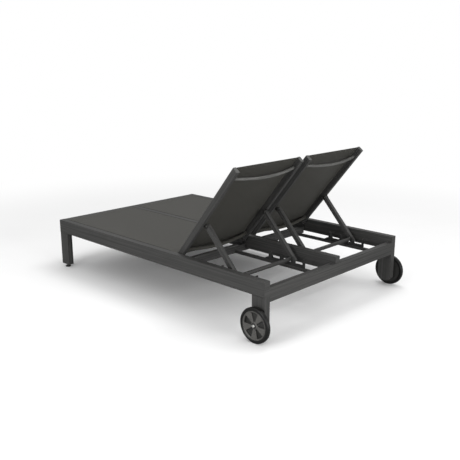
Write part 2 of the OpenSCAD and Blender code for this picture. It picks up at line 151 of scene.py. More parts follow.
def many_rings(centres, directions, sides, radii, lengths):
    """Short closed capsules, one per centre: rings of a circle carried along a direction.

    A ring's point = centre + direction * length + radius * (cos turn * a + sin turn * b),
    where a and b are square to the direction. Returns points and faces.
    """
    centres, directions = np.asarray(centres, float), np.asarray(directions, float)
    directions = directions / np.linalg.norm(directions, axis=1, keepdims=True)
    helper = np.where(np.abs(directions[:, 2:3]) < 0.9, [[0.0, 0.0, 1.0]], [[1.0, 0.0, 0.0]])
    a = np.cross(directions, helper)
    a /= np.linalg.norm(a, axis=1, keepdims=True)
    b = np.cross(directions, a)
    turn = np.arange(sides) * 2 * np.pi / sides
    ring = np.cos(turn)[None, :, None] * a[:, None] + np.sin(turn)[None, :, None] * b[:, None]
    radii, lengths = np.asarray(radii), np.asarray(lengths)
    points = (
        centres[:, None, None]
        + directions[:, None, None] * lengths[None, :, None, None]
        + ring[:, None] * radii[None, :, None, None]
    )
    one = grid_faces(len(radii), sides, round_columns=True)
    size = len(radii) * sides
    faces = (one[None] + np.arange(len(centres))[:, None, None] * size).reshape(-1, 4)
    return points.reshape(-1, 3), faces


def revolve(profile, turns, middle, side=1.0, wave=None):
    """A profile of (distance along X, radius) carried round an axis along X.

    Point = middle + (side * x, r * cos turn, r * sin turn). The profile is a closed loop,
    or it ends on the axis. wave, if given, changes the arrays of x and r by the turn.
    """
    profile = np.asarray(profile, float)
    turn = np.arange(turns) * 2 * np.pi / turns
    x = np.repeat(profile[:, :1], turns, 1)
    r = np.repeat(profile[:, 1:], turns, 1)
    if wave is not None:
        x, r = wave(x, r, turn[None])
    return np.stack([side * x, r * np.cos(turn), r * np.sin(turn)], -1) + np.asarray(middle)


# %% [markdown]
# ## Helpers for materials
# A colour is picked as it looks on screen, as a hex value, and Blender computes with
# linear light, so one function converts it. Another adds a node, sets it and links it.

# %% Colour and node helpers


def linear(hex_colour):
    """An sRGB hex colour as linear red, green, blue and alpha."""
    c = np.array([int(hex_colour[i : i + 2], 16) for i in (0, 2, 4)]) / 255
    c = np.where(c <= 0.04045, c / 12.92, ((c + 0.055) / 1.055) ** 2.4)
    return (*[float(v) for v in c], 1.0)


def add(tree, kind, sockets=None, **settings):
    """Adds a node, with its settings, and a value or a link for each named socket."""
    node = tree.nodes.new("ShaderNode" + kind)
    for name, value in settings.items():
        setattr(node, name, value)
    for name, value in (sockets or {}).items():
        if isinstance(value, bpy.types.NodeSocket):
            tree.links.new(value, node.inputs[name])
        else:
            node.inputs[name].default_value = value
    return node


def start(name, roughness, metallic=0.0, **sockets):
    """A new material with one Principled shader, whose constant values are set on it."""
    material = bpy.data.materials.new(name)
    material.use_nodes = True
    tree = material.node_tree
    tree.nodes.clear()
    shader = add(tree, "BsdfPrincipled", {"Roughness": roughness, "Metallic": metallic, **sockets})
    add(tree, "OutputMaterial", {"Surface": shader.outputs["BSDF"]})
    return material, tree, shader


def ramp(tree, value, stops):
    """A colour ramp over a value, from (place, hex colour) pairs."""
    node = add(tree, "ValToRGB", {"Fac": value})
    while len(node.color_ramp.elements) < len(stops):
        node.color_ramp.elements.new(0.5)
    for element, (place, colour) in zip(node.color_ramp.elements, stops):
        element.position = place
        element.color = linear(colour)
    return node.outputs["Color"]


def bump(tree, shader, height, strength, distance):
    """Feeds a height into the shader's normal."""
    node = add(tree, "Bump", {"Strength": strength, "Distance": distance, "Height": height})
    tree.links.new(node.outputs["Normal"], shader.inputs["Normal"])


def dress(nodes, material):
    """Gives CAD nodes a material."""
    for name in nodes:
        NODES[name].data.materials.clear()
        NODES[name].data.materials.append(material)


# %% [markdown]
# ## The frame's finish
# The tubes are aluminium with a charcoal powder coat, which is matte and a little warm.
# A fine grain runs along each tube, as on a coat with a brushed or timber-look transfer.
# It mixes two noises stretched along the tube: a grain 2 mm wide and 220 mm long, and
# fainter streaks 7.5 mm wide and 900 mm long. So each direction of tube needs its own turn
# of the pattern. Under it the powder itself leaves a fine pebbled skin, about 1 mm across.
# The upper bowed bars take a lighter copy of the same coat, a painted highlight where light falls
# on their tops.

# %% Charcoal powder coat with a grain
GRAIN_WIDE, GRAIN_LONG = 0.0022, 0.22
STREAK_WIDE, STREAK_LONG = 0.0075, 0.9
PEBBLE = 0.0009


def charcoal_coat(name, along, turn=0.0, dark="282827", middle="373736", light="474645"):
    """Powder coat whose grain runs along an axis, turned about X by some degrees."""
    material, tree, shader = start(name, 0.52, **{"IOR": 1.5, "Specular IOR Level": 0.42})
    place = add(tree, "TexCoord").outputs["Object"]
    layers = []
    for wide, long, detail in ((GRAIN_WIDE, GRAIN_LONG, 5.0), (STREAK_WIDE, STREAK_LONG, 2.0)):
        lie = add(
            tree,
            "Mapping",
            {
                "Vector": place,
                "Rotation": (math.radians(turn), 0, 0),
                "Scale": [long if a == along else wide for a in "XYZ"],
            },
            vector_type="TEXTURE",
        ).outputs["Vector"]
        noise = add(
            tree, "TexNoise", {"Vector": lie, "Scale": 1.0, "Detail": detail, "Roughness": 0.6}
        )
        layers.append(noise.outputs["Fac"])
    grain, streak = layers
    mixed = add(tree, "Mix", {"Factor": 0.55, "A": grain, "B": streak}, data_type="FLOAT")
    colour = ramp(tree, mixed.outputs["Result"], [(0.37, dark), (0.5, middle), (0.63, light)])
    tree.links.new(colour, shader.inputs["Base Color"])
    pebble = add(tree, "TexNoise", {"Vector": place, "Scale": 1 / PEBBLE, "Detail": 2.0})
    height = add(tree, "Math", {0: grain, 1: pebble.outputs["Fac"]}, operation="ADD")
    bump(tree, shader, height.outputs[0], 0.32, 0.0004)
    rough = add(
        tree,
        "MapRange",
        {"Value": grain, "From Min": 0.3, "From Max": 0.7, "To Min": 0.44, "To Max": 0.6},
    )
    tree.links.new(rough.outputs["Result"], shader.inputs["Roughness"])
    return material


strut_run = corners("strut_bolts_left")[0] - corners("prop_bolts_left")[0]
prop_lean = math.degrees(math.atan2(strut_run[2], strut_run[1]))
coat_y = charcoal_coat("charcoal_coat_lengthways", "Y")
coat_x = charcoal_coat("charcoal_coat_crossways", "X")
coat_z = charcoal_coat("charcoal_coat_upright", "Z")
coat_back = charcoal_coat("charcoal_coat_backrest", "Y", recline)
coat_strut = charcoal_coat("charcoal_coat_strut", "Y", prop_lean)
# painted highlight: the upper bowed bars get the same coat in lighter colours
bowed_bar_painted_highlight_coat = charcoal_coat("charcoal_coat_bowed_bar_painted_highlight", "X", 0.0, "484846", "595957", "6a6967")
print("struts lean", round(prop_lean, 1), "degrees")

# %% Dress the tubes
dress(["side_rail_left", "side_rail_right", "centre_beam"], coat_y)
dress(["rack_rails_left", "rack_rails_right"], coat_y)
dress(["foot_rail", "head_rail", "mid_rail", "seat_end_bars"], coat_x)
dress(["seat_braces_left", "seat_braces_right", "crossbar_left", "crossbar_right"], coat_x)
dress(["foot_leg_left", "foot_leg_right", "head_leg_left", "head_leg_right"], coat_z)
for side_name in SIDES:
    dress([f"back_tube_outer_{side_name}", f"back_tube_inner_{side_name}"], coat_back)
    dress([f"back_top_bar_{side_name}"], bowed_bar_painted_highlight_coat)
    dress([f"back_low_bar_{side_name}"], coat_x)
    dress([f"struts_{side_name}"], coat_strut)

# %% [markdown]
# ## Black steel, plastic, zinc and rubber
# The lugs and brackets are stamped steel with a black powder coat, a little shinier than
# the frame's. The toothed racks are moulded in black nylon, and the backrests' end caps in
# a grey polypropylene. The axles are zinc plated, a pale metal with a faint cloudy bloom,
# and the pivots' bolts have a blackened zinc.

# %% Black powder coat on the stamped parts
black_coat, tree, shader = start("black_powder_coat", 0.42, **{"IOR": 1.5})
place = add(tree, "TexCoord").outputs["Object"]
pebble = add(tree, "TexNoise", {"Vector": place, "Scale": 900.0, "Detail": 3.0})
rub = add(tree, "TexNoise", {"Vector": place, "Scale": 55.0, "Detail": 6.0, "Roughness": 0.7})
tree.links.new(
    ramp(tree, rub.outputs["Fac"], [(0.3, "161616"), (0.62, "1f1f1e"), (0.74, "2e2d2b")]),
    shader.inputs["Base Color"],
)
bump(tree, shader, pebble.outputs["Fac"], 0.3, 0.0003)
dress(["prop_lugs_left", "prop_lugs_right", "hinge_brackets"], black_coat)

# %% Moulded nylon on the racks
black_nylon, tree, shader = start("black_nylon", 0.5, **{"IOR": 1.53})
place = add(tree, "TexCoord").outputs["Object"]
flow = add(tree, "TexNoise", {"Vector": place, "Scale": 40.0, "Detail": 4.0, "Roughness": 0.6})
skin = add(tree, "TexNoise", {"Vector": place, "Scale": 1100.0, "Detail": 2.0})
tree.links.new(
    ramp(tree, flow.outputs["Fac"], [(0.3, "151515"), (0.7, "222221")]),
    shader.inputs["Base Color"],
)
bump(tree, shader, skin.outputs["Fac"], 0.3, 0.0002)
dress(["racks_left", "racks_right"], black_nylon)

# %% Moulded caps
cap_plastic, tree, shader = start("moulded_polypropylene", 0.55, **{"IOR": 1.49})
place = add(tree, "TexCoord").outputs["Object"]
spark = add(tree, "TexNoise", {"Vector": place, "Scale": 1400.0, "Detail": 2.0})
tone = add(tree, "TexNoise", {"Vector": place, "Scale": 30.0, "Detail": 2.0})
tree.links.new(
    ramp(tree, tone.outputs["Fac"], [(0.3, "3d3d3c"), (0.7, "484846")]),
    shader.inputs["Base Color"],
)
bump(tree, shader, spark.outputs["Fac"], 0.25, 0.0002)
dress(["back_caps_left", "back_caps_right"], cap_plastic)
dress(["rail_end_caps"], coat_x)

# %% Zinc plate
zinc, tree, shader = start("zinc_plated_steel", 0.3, 1.0)
place = add(tree, "TexCoord").outputs["Object"]
bloom = add(tree, "TexNoise", {"Vector": place, "Scale": 180.0, "Detail": 5.0, "Roughness": 0.7})
tree.links.new(
    ramp(tree, bloom.outputs["Fac"], [(0.3, "dededa"), (0.7, "f6f6f2")]),
    shader.inputs["Base Color"],
)
dull = add(tree, "MapRange", {"Value": bloom.outputs["Fac"], "To Min": 0.18, "To Max": 0.45})
tree.links.new(dull.outputs["Result"], shader.inputs["Roughness"])
bump(tree, shader, bloom.outputs["Fac"], 0.15, 0.0002)
dress(["wheel_axles"], zinc)

# %% Blackened bolts and rubber
black_zinc, tree, shader = start("black_zinc_bolts", 0.34, 0.85)
place = add(tree, "TexCoord").outputs["Object"]
bloom = add(tree, "TexNoise", {"Vector": place, "Scale": 220.0, "Detail": 4.0})
tree.links.new(
    ramp(tree, bloom.outputs["Fac"], [(0.3, "2b2b2a"), (0.7, "4a4a48")]),
    shader.inputs["Base Color"],
)
bump(tree, shader, bloom.outputs["Fac"], 0.2, 0.0002)

rubber, tree, shader = start("black_rubber", 0.62, **{"IOR": 1.52})
place = add(tree, "TexCoord").outputs["Object"]
skin = add(tree, "TexNoise", {"Vector": place, "Scale": 700.0, "Detail": 3.0})
tree.links.new(
    ramp(tree, skin.outputs["Fac"], [(0.3, "141414"), (0.7, "232322")]),
    shader.inputs["Base Color"],
)
bump(tree, shader, skin.outputs["Fac"], 0.3, 0.0003)
dress(["buffers"], rubber)

# %% [markdown]
# ## The slings
# A sling is a mesh woven from polyester yarn in a vinyl skin, in a plain weave. Two near
# colours of yarn, one in each direction, give its warm grey. It is cut flat, its side
# edges have a cord sewn in that slides into a groove in the tube, and it is stretched
# between the tubes, so it is nearly flat, with a slight hollow in the middle. The weave
# follows the sling's own UV map, which is in metres. Real yarn is 1 mm apart. It is drawn
# 3 mm apart here so that it can be seen.

# %% Woven mesh material
YARN = 0.003


def woven_mesh(name, warp_dark, warp_light, weft_dark, weft_light):
    """Plain weave: over each crossing one yarn shows, and the shown yarn alternates.

    The sign of sin(across) * sin(along) says which yarn is on top. Its height is the sine
    across the yarn, flattened along it.
    """
    material, tree, shader = start(
        name, 0.6, **{"IOR": 1.5, "Specular IOR Level": 0.35, "Sheen Weight": 0.06}
    )
    uv = add(tree, "UVMap", uv_map="UVMap").outputs["UV"]
    parts = add(tree, "SeparateXYZ", {"Vector": uv})
    waves = []
    for axis in "XY":
        angle = add(
            tree, "Math", {0: parts.outputs[axis], 1: math.pi / YARN}, operation="MULTIPLY"
        )
        waves.append(add(tree, "Math", {0: angle.outputs[0]}, operation="SINE").outputs[0])
    sizes = [add(tree, "Math", {0: w}, operation="ABSOLUTE").outputs[0] for w in waves]
    both = add(tree, "Math", {0: waves[0], 1: waves[1]}, operation="MULTIPLY").outputs[0]
    on_top = add(tree, "Math", {0: both, 1: 0.0}, operation="GREATER_THAN").outputs[0]
    heights = []
    for wide, lengthways in ((0, 1), (1, 0)):
        flat = add(tree, "Math", {0: sizes[lengthways], 1: 0.35}, operation="POWER").outputs[0]
        heights.append(
            add(tree, "Math", {0: sizes[wide], 1: flat}, operation="MULTIPLY").outputs[0]
        )
    height = add(
        tree, "Mix", {"Factor": on_top, "A": heights[0], "B": heights[1]}, data_type="FLOAT"
    ).outputs["Result"]
    fade = add(
        tree, "TexNoise", {"Vector": uv, "Scale": 190.0, "Detail": 4.0, "Roughness": 0.7}
    ).outputs["Fac"]
    # painted shade: the colour follows the yarn height, darker where each yarn sinks at its edges
    # between the yarns, plus a random mottle from the noise
    shade = add(tree, "Math", {0: height, 1: 0.75, 2: fade}, operation="MULTIPLY_ADD").outputs[0]
    warp = ramp(tree, shade, [(0.35, warp_dark), (1.2, warp_light)])
    weft = ramp(tree, shade, [(0.35, weft_dark), (1.2, weft_light)])
    colour = add(tree, "Mix", {"Factor": on_top}, data_type="RGBA")
    tree.links.new(warp, colour.inputs[6])
    tree.links.new(weft, colour.inputs[7])
    tree.links.new(colour.outputs[2], shader.inputs["Base Color"])
    bump(tree, shader, height, 0.5, 0.0006)
    return material


seat_mesh = woven_mesh("woven_vinyl_mesh", "1f1f1c", "363530", "22211e", "3b3a34")
hem_mesh = woven_mesh("woven_vinyl_hem", "24231f", "393832", "272622", "3d3b35")

# Sewing thread: bonded polyester, smooth and a little glossy.
thread, tree, shader = start("sewing_thread", 0.45, **{"IOR": 1.5})
place = add(tree, "TexCoord").outputs["Object"]
twist = add(tree, "TexNoise", {"Vector": place, "Scale": 2500.0})
tree.links.new(
    ramp(tree, twist.outputs["Fac"], [(0.3, "4b4a44"), (0.7, "6d6b62")]),
    shader.inputs["Base Color"],
)

# %% [markdown]
# ### Seat slings
# Each seat sling fills the bay between a side rail and the centre beam. Its head end goes
# round a bar and is sewn back under itself, and its other edges sit in grooves. The sheet
# is one function of two parameters: across from one rail to the other, and along from the
# foot rail over the bar. It hollows by 2 mm in the middle.

# %% Seat sling surfaces
SLING_THICK = 0.0016
SEAT_HOLLOW = 0.002
HEM_WIDE = 0.022
HEM_THICK = 0.0032
STITCH_LONG, STITCH_GAP, STITCH_R = 0.0032, 0.0052, 0.00055
CORD_R = 0.0018
ACROSS, ALONG = 61, 120  # points in a sling's grid
SHARE = np.linspace(-1, 1, ACROSS)
TUCK = 0.05  # how far a seat sling runs back under its end bar
SEAM_IN = 0.012  # from a sling's edge to its row of stitches


def cloth(name, points, uv, flip=False):
    """A single sheet from a grid of points, given its thickness by Solidify."""
    rows, columns = points.shape[:2]
    faces = grid_faces(rows, columns)
    if flip:
        faces = faces[:, ::-1]
    piece = make_piece(name, points, faces, uv)
    wall = piece.modifiers.new("thickness", "SOLIDIFY")
    wall.thickness = SLING_THICK
    wall.offset = 0.0
    piece.data.materials.append(seat_mesh)
    return piece


def strip(name, path, across_dir, out_dir, wide, thick, material):
    """A flat band with rounded edges carried along a path: a stadium-shaped profile."""
    path = np.asarray(path, float)
    turn = np.linspace(0, 2 * np.pi, 24, endpoint=False)
    side_shift = np.where(np.cos(turn) > 0, 1, -1) * (wide - thick) / 2
    a = side_shift + np.cos(turn) * thick / 2
    b = np.sin(turn) * thick / 2
    points = path[:, None] + a[:, None] * np.asarray(across_dir) + b[:, None] * np.asarray(out_dir)
    ends = [path[:1, None] + points[:1] * 0, path[-1:, None] + points[-1:] * 0]
    points = np.concatenate([ends[0], points, ends[1]])
    step = np.linalg.norm(np.diff(path, axis=0), axis=1)
    gone = np.concatenate([[0], [0], np.cumsum(step), [step.sum()]])
    uv = np.stack(np.broadcast_arrays(a[None], gone[:, None]), -1)
    piece = make_piece(name, points, grid_faces(len(points), 24, round_columns=True), uv)
    piece.data.materials.append(material)
    return face_out(piece)


def cord_piece(name, path, radius, material):
    """A round cord carried along a path, with rounded ends."""
    path = np.asarray(path, float)
    direction = path[-1] - path[0]
    lengths = np.linspace(0, np.linalg.norm(direction), 40)
    radii = np.full(40, radius)
    lengths = np.concatenate([[-radius * 0.9, -radius * 0.6], lengths])
    lengths = np.concatenate([lengths, [lengths[-1] + radius * 0.6, lengths[-1] + radius * 0.9]])
    radii = np.concatenate([[1e-5, radius * 0.75], radii, [radius * 0.75, 1e-5]])
    points, faces = many_rings([path[0]], [direction], 14, radii, lengths)
    piece = make_piece(name, points, faces)
    piece.data.materials.append(material)
    return face_out(piece)


def stitch_rows(name, lines, out_dir):
    """Rows of stitches: a short capsule every few millimetres along each line."""
    centres, directions = [], []
    for start_point, end_point in lines:
        start_point, end_point = np.asarray(start_point, float), np.asarray(end_point, float)
        span = end_point - start_point
        count = int(np.linalg.norm(span) / STITCH_GAP)
        share = (np.arange(count) + 0.5) / count
        centres.append(start_point + share[:, None] * span)
        directions.append(np.repeat(span[None], count, 0))
    centres, directions = np.concatenate(centres), np.concatenate(directions)
    unit = directions / np.linalg.norm(directions, axis=1, keepdims=True)
    centres = centres - unit * STITCH_LONG / 2
    radii = np.array([0.2, 1.0, 1.0, 0.2]) * STITCH_R
    lengths = np.array([0, 0.18, 0.82, 1.0]) * STITCH_LONG
    points, faces = many_rings(centres, directions, 6, radii, lengths)
    points = points + np.asarray(out_dir) * STITCH_R * 0.4
    piece = make_piece(name, points, faces)
    piece.data.materials.append(thread)
    return piece


for side_name, side in SIDES.items():
    low, high = corners("seat_sling_left")
    bar_low, bar_high = corners("seat_end_bars")
    bar_r = (bar_high[2] - bar_low[2]) / 2
    bar_y, bar_z = (bar_low[1] + bar_high[1]) / 2, (bar_low[2] + bar_high[2]) / 2
    wrap_r = bar_r + SLING_THICK / 2 + 0.0002
    seat_z = high[2] - SLING_THICK / 2
    flat_end = bar_y - 0.045
    along_flat = np.linspace(low[1], flat_end, ALONG)
    turn = np.linspace(math.pi / 2 + 0.09, -math.pi / 2, 20)
    wrap = np.stack([bar_y + wrap_r * np.cos(turn), bar_z + wrap_r * np.sin(turn)], -1)
    tuck_y = np.linspace(bar_y - 0.004, bar_y - TUCK, 8)
    tuck = np.stack([tuck_y, np.full(8, bar_z - wrap_r)], -1)
    path = np.concatenate([np.stack([along_flat, np.full(ALONG, seat_z)], -1), wrap, tuck])
    middle_x, half_x = (low[0] + high[0]) / 2, (high[0] - low[0]) / 2
    from_foot = np.clip((path[:, 0] - low[1]) / 0.12, 0, 1)
    from_head = np.clip((flat_end + 0.02 - path[:, 0]) / 0.2, 0, 1)
    hollow = from_foot * from_head
    hollow[ALONG:] = 0
    hollow = hollow * hollow * (3 - 2 * hollow)
    points = np.empty((len(path), ACROSS, 3))
    points[..., 0] = (middle_x + half_x * SHARE[None]) * side
    points[..., 1] = path[:, :1]
    points[..., 2] = path[:, 1:] - SEAT_HOLLOW * hollow[:, None] * (1 - SHARE[None] ** 2)
    step = np.concatenate([[0], np.cumsum(np.linalg.norm(np.diff(path, axis=0), axis=1))])
    uv = np.stack(np.broadcast_arrays(half_x * SHARE[None], step[:, None]), -1)
    sling = cloth(f"seat_cloth_{side_name}", points, uv, flip=side > 0)
    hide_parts(f"seat_sling_{side_name}")
    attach(sling, "frame")

    x_in, x_out = (low[0] + 0.0015) * side, (high[0] - 0.0015) * side
    cords = []
    for edge, x in (("beam", x_in + 0.001 * side), ("rail", x_out - 0.001 * side)):
        ends = [[x, low[1] + 0.004, seat_z], [x, flat_end, seat_z]]
        cords.append(cord_piece(f"seat_cord_{edge}_{side_name}", ends, CORD_R, seat_mesh))
    seam_in, seam_out = x_in + SEAM_IN * side, x_out - SEAM_IN * side
    seam_z = seat_z + 0.0008
    foot_in, foot_out = [seam_in, low[1] + SEAM_IN, seam_z], [seam_out, low[1] + SEAM_IN, seam_z]
    head_in, head_out = [seam_in, flat_end, seam_z], [seam_out, flat_end, seam_z]
    rows = [(foot_in, head_in), (foot_out, head_out), (foot_in, foot_out)]
    seams = stitch_rows(f"seat_stitches_{side_name}", rows, [0.0, 0.0, 1.0])
    for extra in cords + [seams]:
        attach(extra, "frame")
    extras = cords + [seams]

# %% [markdown]
# ### Back slings
# A back sling is the same cloth between the two side tubes. Its top edge is folded over a
# thin cord into a hem with two rows of stitches. At the bottom it folds to the back and
# ends in a pocket round the low bowed bar. It hollows by 6 mm towards the bars.

# %% Back sling surfaces
BACK_HOLLOW = 0.006


def pocket_round(bar_node, fold_s, front, sense, half_x):
    """The sling's end behind the fold: straight to a bowed bar, then round it.

    In the plane square to the bar, a line from the fold touches a circle of radius R at
    the angle atan2(n, t) - acos(R / D) from the circle's middle, with D the distance from
    the fold. The bar's middle follows an arc, n(x) = R_arc - bow - sqrt(R_arc^2 - x^2).
    """
    spot = np.array([v.co for v in NODES[bar_node].data.vertices]) - hinge
    s_all, n_all, x_all = spot @ up, spot @ out, spot @ across
    bar_s, bar_r = (s_all.max() + s_all.min()) / 2, (s_all.max() - s_all.min()) / 2
    bow, half = -(n_all.min() + bar_r), (x_all.max() - x_all.min()) / 2
    arc_r = (half**2 + bow**2) / (2 * bow)
    x = SHARE * (half_x - 0.0006)
    n_bar = arc_r - bow - np.sqrt(arc_r**2 - x**2)
    wrap_r = bar_r + 0.0012
    t_fold = sense * (fold_s - bar_s)
    far = np.hypot(t_fold, front - n_bar)
    touch = np.arctan2(front - n_bar, t_fold) - np.arccos(wrap_r / far)
    line = np.linspace(0, 1, 14)[:, None]
    t_line = t_fold + line * (wrap_r * np.cos(touch) - t_fold)
    n_line = front + line * (n_bar + wrap_r * np.sin(touch) - front)
    turn = touch - np.linspace(0.06, math.radians(205), 26)[:, None]
    t_all = np.concatenate([t_line, wrap_r * np.cos(turn)])
    n_all = np.concatenate([n_line, n_bar + wrap_r * np.sin(turn)])
    points = np.stack([np.broadcast_to(x, t_all.shape), bar_s + sense * t_all, n_all], -1)
    steps = np.linalg.norm(np.diff(points[:, ACROSS // 2], axis=0), axis=1)
    gone = np.concatenate([[0], np.cumsum(steps)])
    return points, np.stack(np.broadcast_arrays(x, gone[:, None]), -1)


for side_name, side in SIDES.items():
    tube_low, tube_high = corners("back_tube_inner_left")
    outer_low, outer_high = corners("back_tube_outer_left")
    half_x = (outer_low[0] - tube_high[0]) / 2 - 0.0006
    spot = np.array([v.co for v in NODES["back_sling_left"].data.vertices]) - hinge
    s_low, s_high = float((spot @ up).min()), float((spot @ up).max())
    front = float((spot @ out).max()) - SLING_THICK / 2
    along = np.linspace(s_low, s_high, ALONG)
    ease = np.clip(np.minimum(along - s_low, s_high - along) / 0.16, 0, 1)
    ease = ease * ease * (3 - 2 * ease)
    local = np.empty((ALONG, ACROSS, 3))
    local[..., 0] = half_x * SHARE[None]
    local[..., 1] = along[:, None]
    local[..., 2] = front - BACK_HOLLOW * ease[:, None] * (1 - SHARE[None] ** 2)
    uv = np.stack(np.broadcast_arrays(half_x * SHARE[None], along[:, None]), -1)
    sling = cloth(f"back_cloth_{side_name}", on_back(local, side), uv, flip=side < 0)
    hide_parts(f"back_sling_{side_name}")
    pocket, pocket_uv = pocket_round("back_low_bar_left", s_low, front, -1.0, half_x)
    extras = [cloth(f"back_pocket_{side_name}", on_back(pocket, side), pocket_uv, flip=side < 0)]
    hem_s = s_high - HEM_WIDE / 2 + 0.001
    line = on_back([[-half_x + 0.002, hem_s, front], [half_x - 0.002, hem_s, front]], side)
    line = line[0] + np.linspace(0, 1, 30)[:, None] * (line[1] - line[0])
    extras.append(strip(f"back_hem_{side_name}", line, up, out, HEM_WIDE, HEM_THICK, seat_mesh))
    for edge, fold_s in (("top", s_high - 0.001), ("low", s_low)):
        ends = on_back([[-half_x + 0.004, fold_s, front], [half_x - 0.004, fold_s, front]], side)
        extras.append(cord_piece(f"back_roll_{edge}_{side_name}", ends, 0.002, seat_mesh))
    for edge, x in (("inner", -half_x + 0.002), ("outer", half_x - 0.002)):
        ends = on_back([[x, s_low + 0.03, front], [x, s_high - 0.03, front]], side)
        extras.append(cord_piece(f"back_cord_{edge}_{side_name}", ends, CORD_R, hem_mesh))
    for face, n in (("front", front + 0.0014), ("rear", front - 0.0022)):
        lines = []
        for s in (s_high - 0.006, s_high - HEM_WIDE + 0.004, s_low + 0.007):
            if face == "front" or s > s_low + 0.01:
                lines.append(on_back([[-half_x + 0.01, s, n], [half_x - 0.01, s, n]], side))
        for x in (-half_x + SEAM_IN, half_x - SEAM_IN):
            m = n - (0.0006 if face == "front" else -0.0008)
            lines.append(on_back([[x, s_low + 0.03, m], [x, s_high - 0.03, m]], side))
        extras.append(stitch_rows(f"back_stitches_{face}_{side_name}", lines, np.zeros(3)))
    for extra in extras:
        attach(extra, f"backrest_{side_name}")
    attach(sling, f"backrest_{side_name}")

# %% [markdown]
# ## Wheels
# The wheel is moulded in grey polypropylene: a closed web at the back, and in front a rim
# ring, five wide spokes and a hub with blind pockets between the spokes. It is one closed
# surface, a profile carried round the axle, where the front of the profile sinks into
# each pocket by an amount that depends on the radius and the turn. The pocket's floor
# slopes, deepest near the rim. The tyre is a smooth band of black rubber with rounded
# shoulders and a thin raised line where the two halves of its mould met.

# %% Wheel plastic
wheel_low, wheel_high = corners("wheel_left")
wheel_plastic, tree, shader = start("wheel_polypropylene", 0.42, **{"IOR": 1.49})
place = add(tree, "TexCoord").outputs["Object"]
spark = add(tree, "TexNoise", {"Vector": place, "Scale": 300.0, "Detail": 3.0, "Roughness": 0.7})
speck = spark.outputs["Fac"]
face_tone = ramp(tree, speck, [(0.32, "383735"), (0.5, "4d4c4a"), (0.68, "686763")])
# painted shade: every surface lying more than a few millimetres behind the wheel's front face, the
# pocket floors and the back web, takes this darker ramp
pocket_painted_shade = ramp(tree, speck, [(0.32, "1a1a19"), (0.68, "2c2c2a")])
parts = add(tree, "SeparateXYZ", {"Vector": place})
out_x = add(tree, "Math", {0: parts.outputs["X"]}, operation="ABSOLUTE")
# mask for that painted shade by depth: 0 deep behind the front face, 1 on the front face
raised = add(
    tree,
    "MapRange",
    {
        "Value": out_x.outputs[0],
        "From Min": float(wheel_high[0]) - 0.011,
        "From Max": float(wheel_high[0]) - 0.004,
    },
)
tone = add(tree, "Mix", {"Factor": raised.outputs["Result"]}, data_type="RGBA")
tree.links.new(pocket_painted_shade, tone.inputs[6])
tree.links.new(face_tone, tone.inputs[7])
tree.links.new(tone.outputs[2], shader.inputs["Base Color"])
bump(tree, shader, spark.outputs["Fac"], 0.35, 0.0004)

tyre_rubber, tree, shader = start("tyre_rubber", 0.34, **{"IOR": 1.5, "Specular IOR Level": 0.3})
place = add(tree, "TexCoord").outputs["Object"]
skin = add(tree, "TexNoise", {"Vector": place, "Scale": 260.0, "Detail": 4.0})
tree.links.new(
    ramp(tree, skin.outputs["Fac"], [(0.3, "0b0b0b"), (0.7, "141413")]),
    shader.inputs["Base Color"],
)
bump(tree, shader, skin.outputs["Fac"], 0.12, 0.0003)

# %% Wheel and tyre surfaces
POCKETS = 5
POCKET_TURN = math.radians(40)
HUB_R = 0.018
TURNS, TYRE_TURNS = 320, 160


def smooth_step(value, low, high):
    """0 below low, 1 above high, and a smooth S between."""
    t = np.clip((value - low) / (high - low), 0, 1)
    return t * t * (3 - 2 * t)


def fine(profile, step=0.0012):
    """The same open profile with points no more than a step apart."""
    profile = np.asarray(profile, float)
    pieces = []
    for first, last in zip(profile[:-1], profile[1:]):
        count = max(1, int(np.ceil(np.linalg.norm(last - first) / step)))
        pieces.append(first + np.linspace(0, 1, count, endpoint=False)[:, None] * (last - first))
    return np.concatenate(pieces + [profile[-1:]])


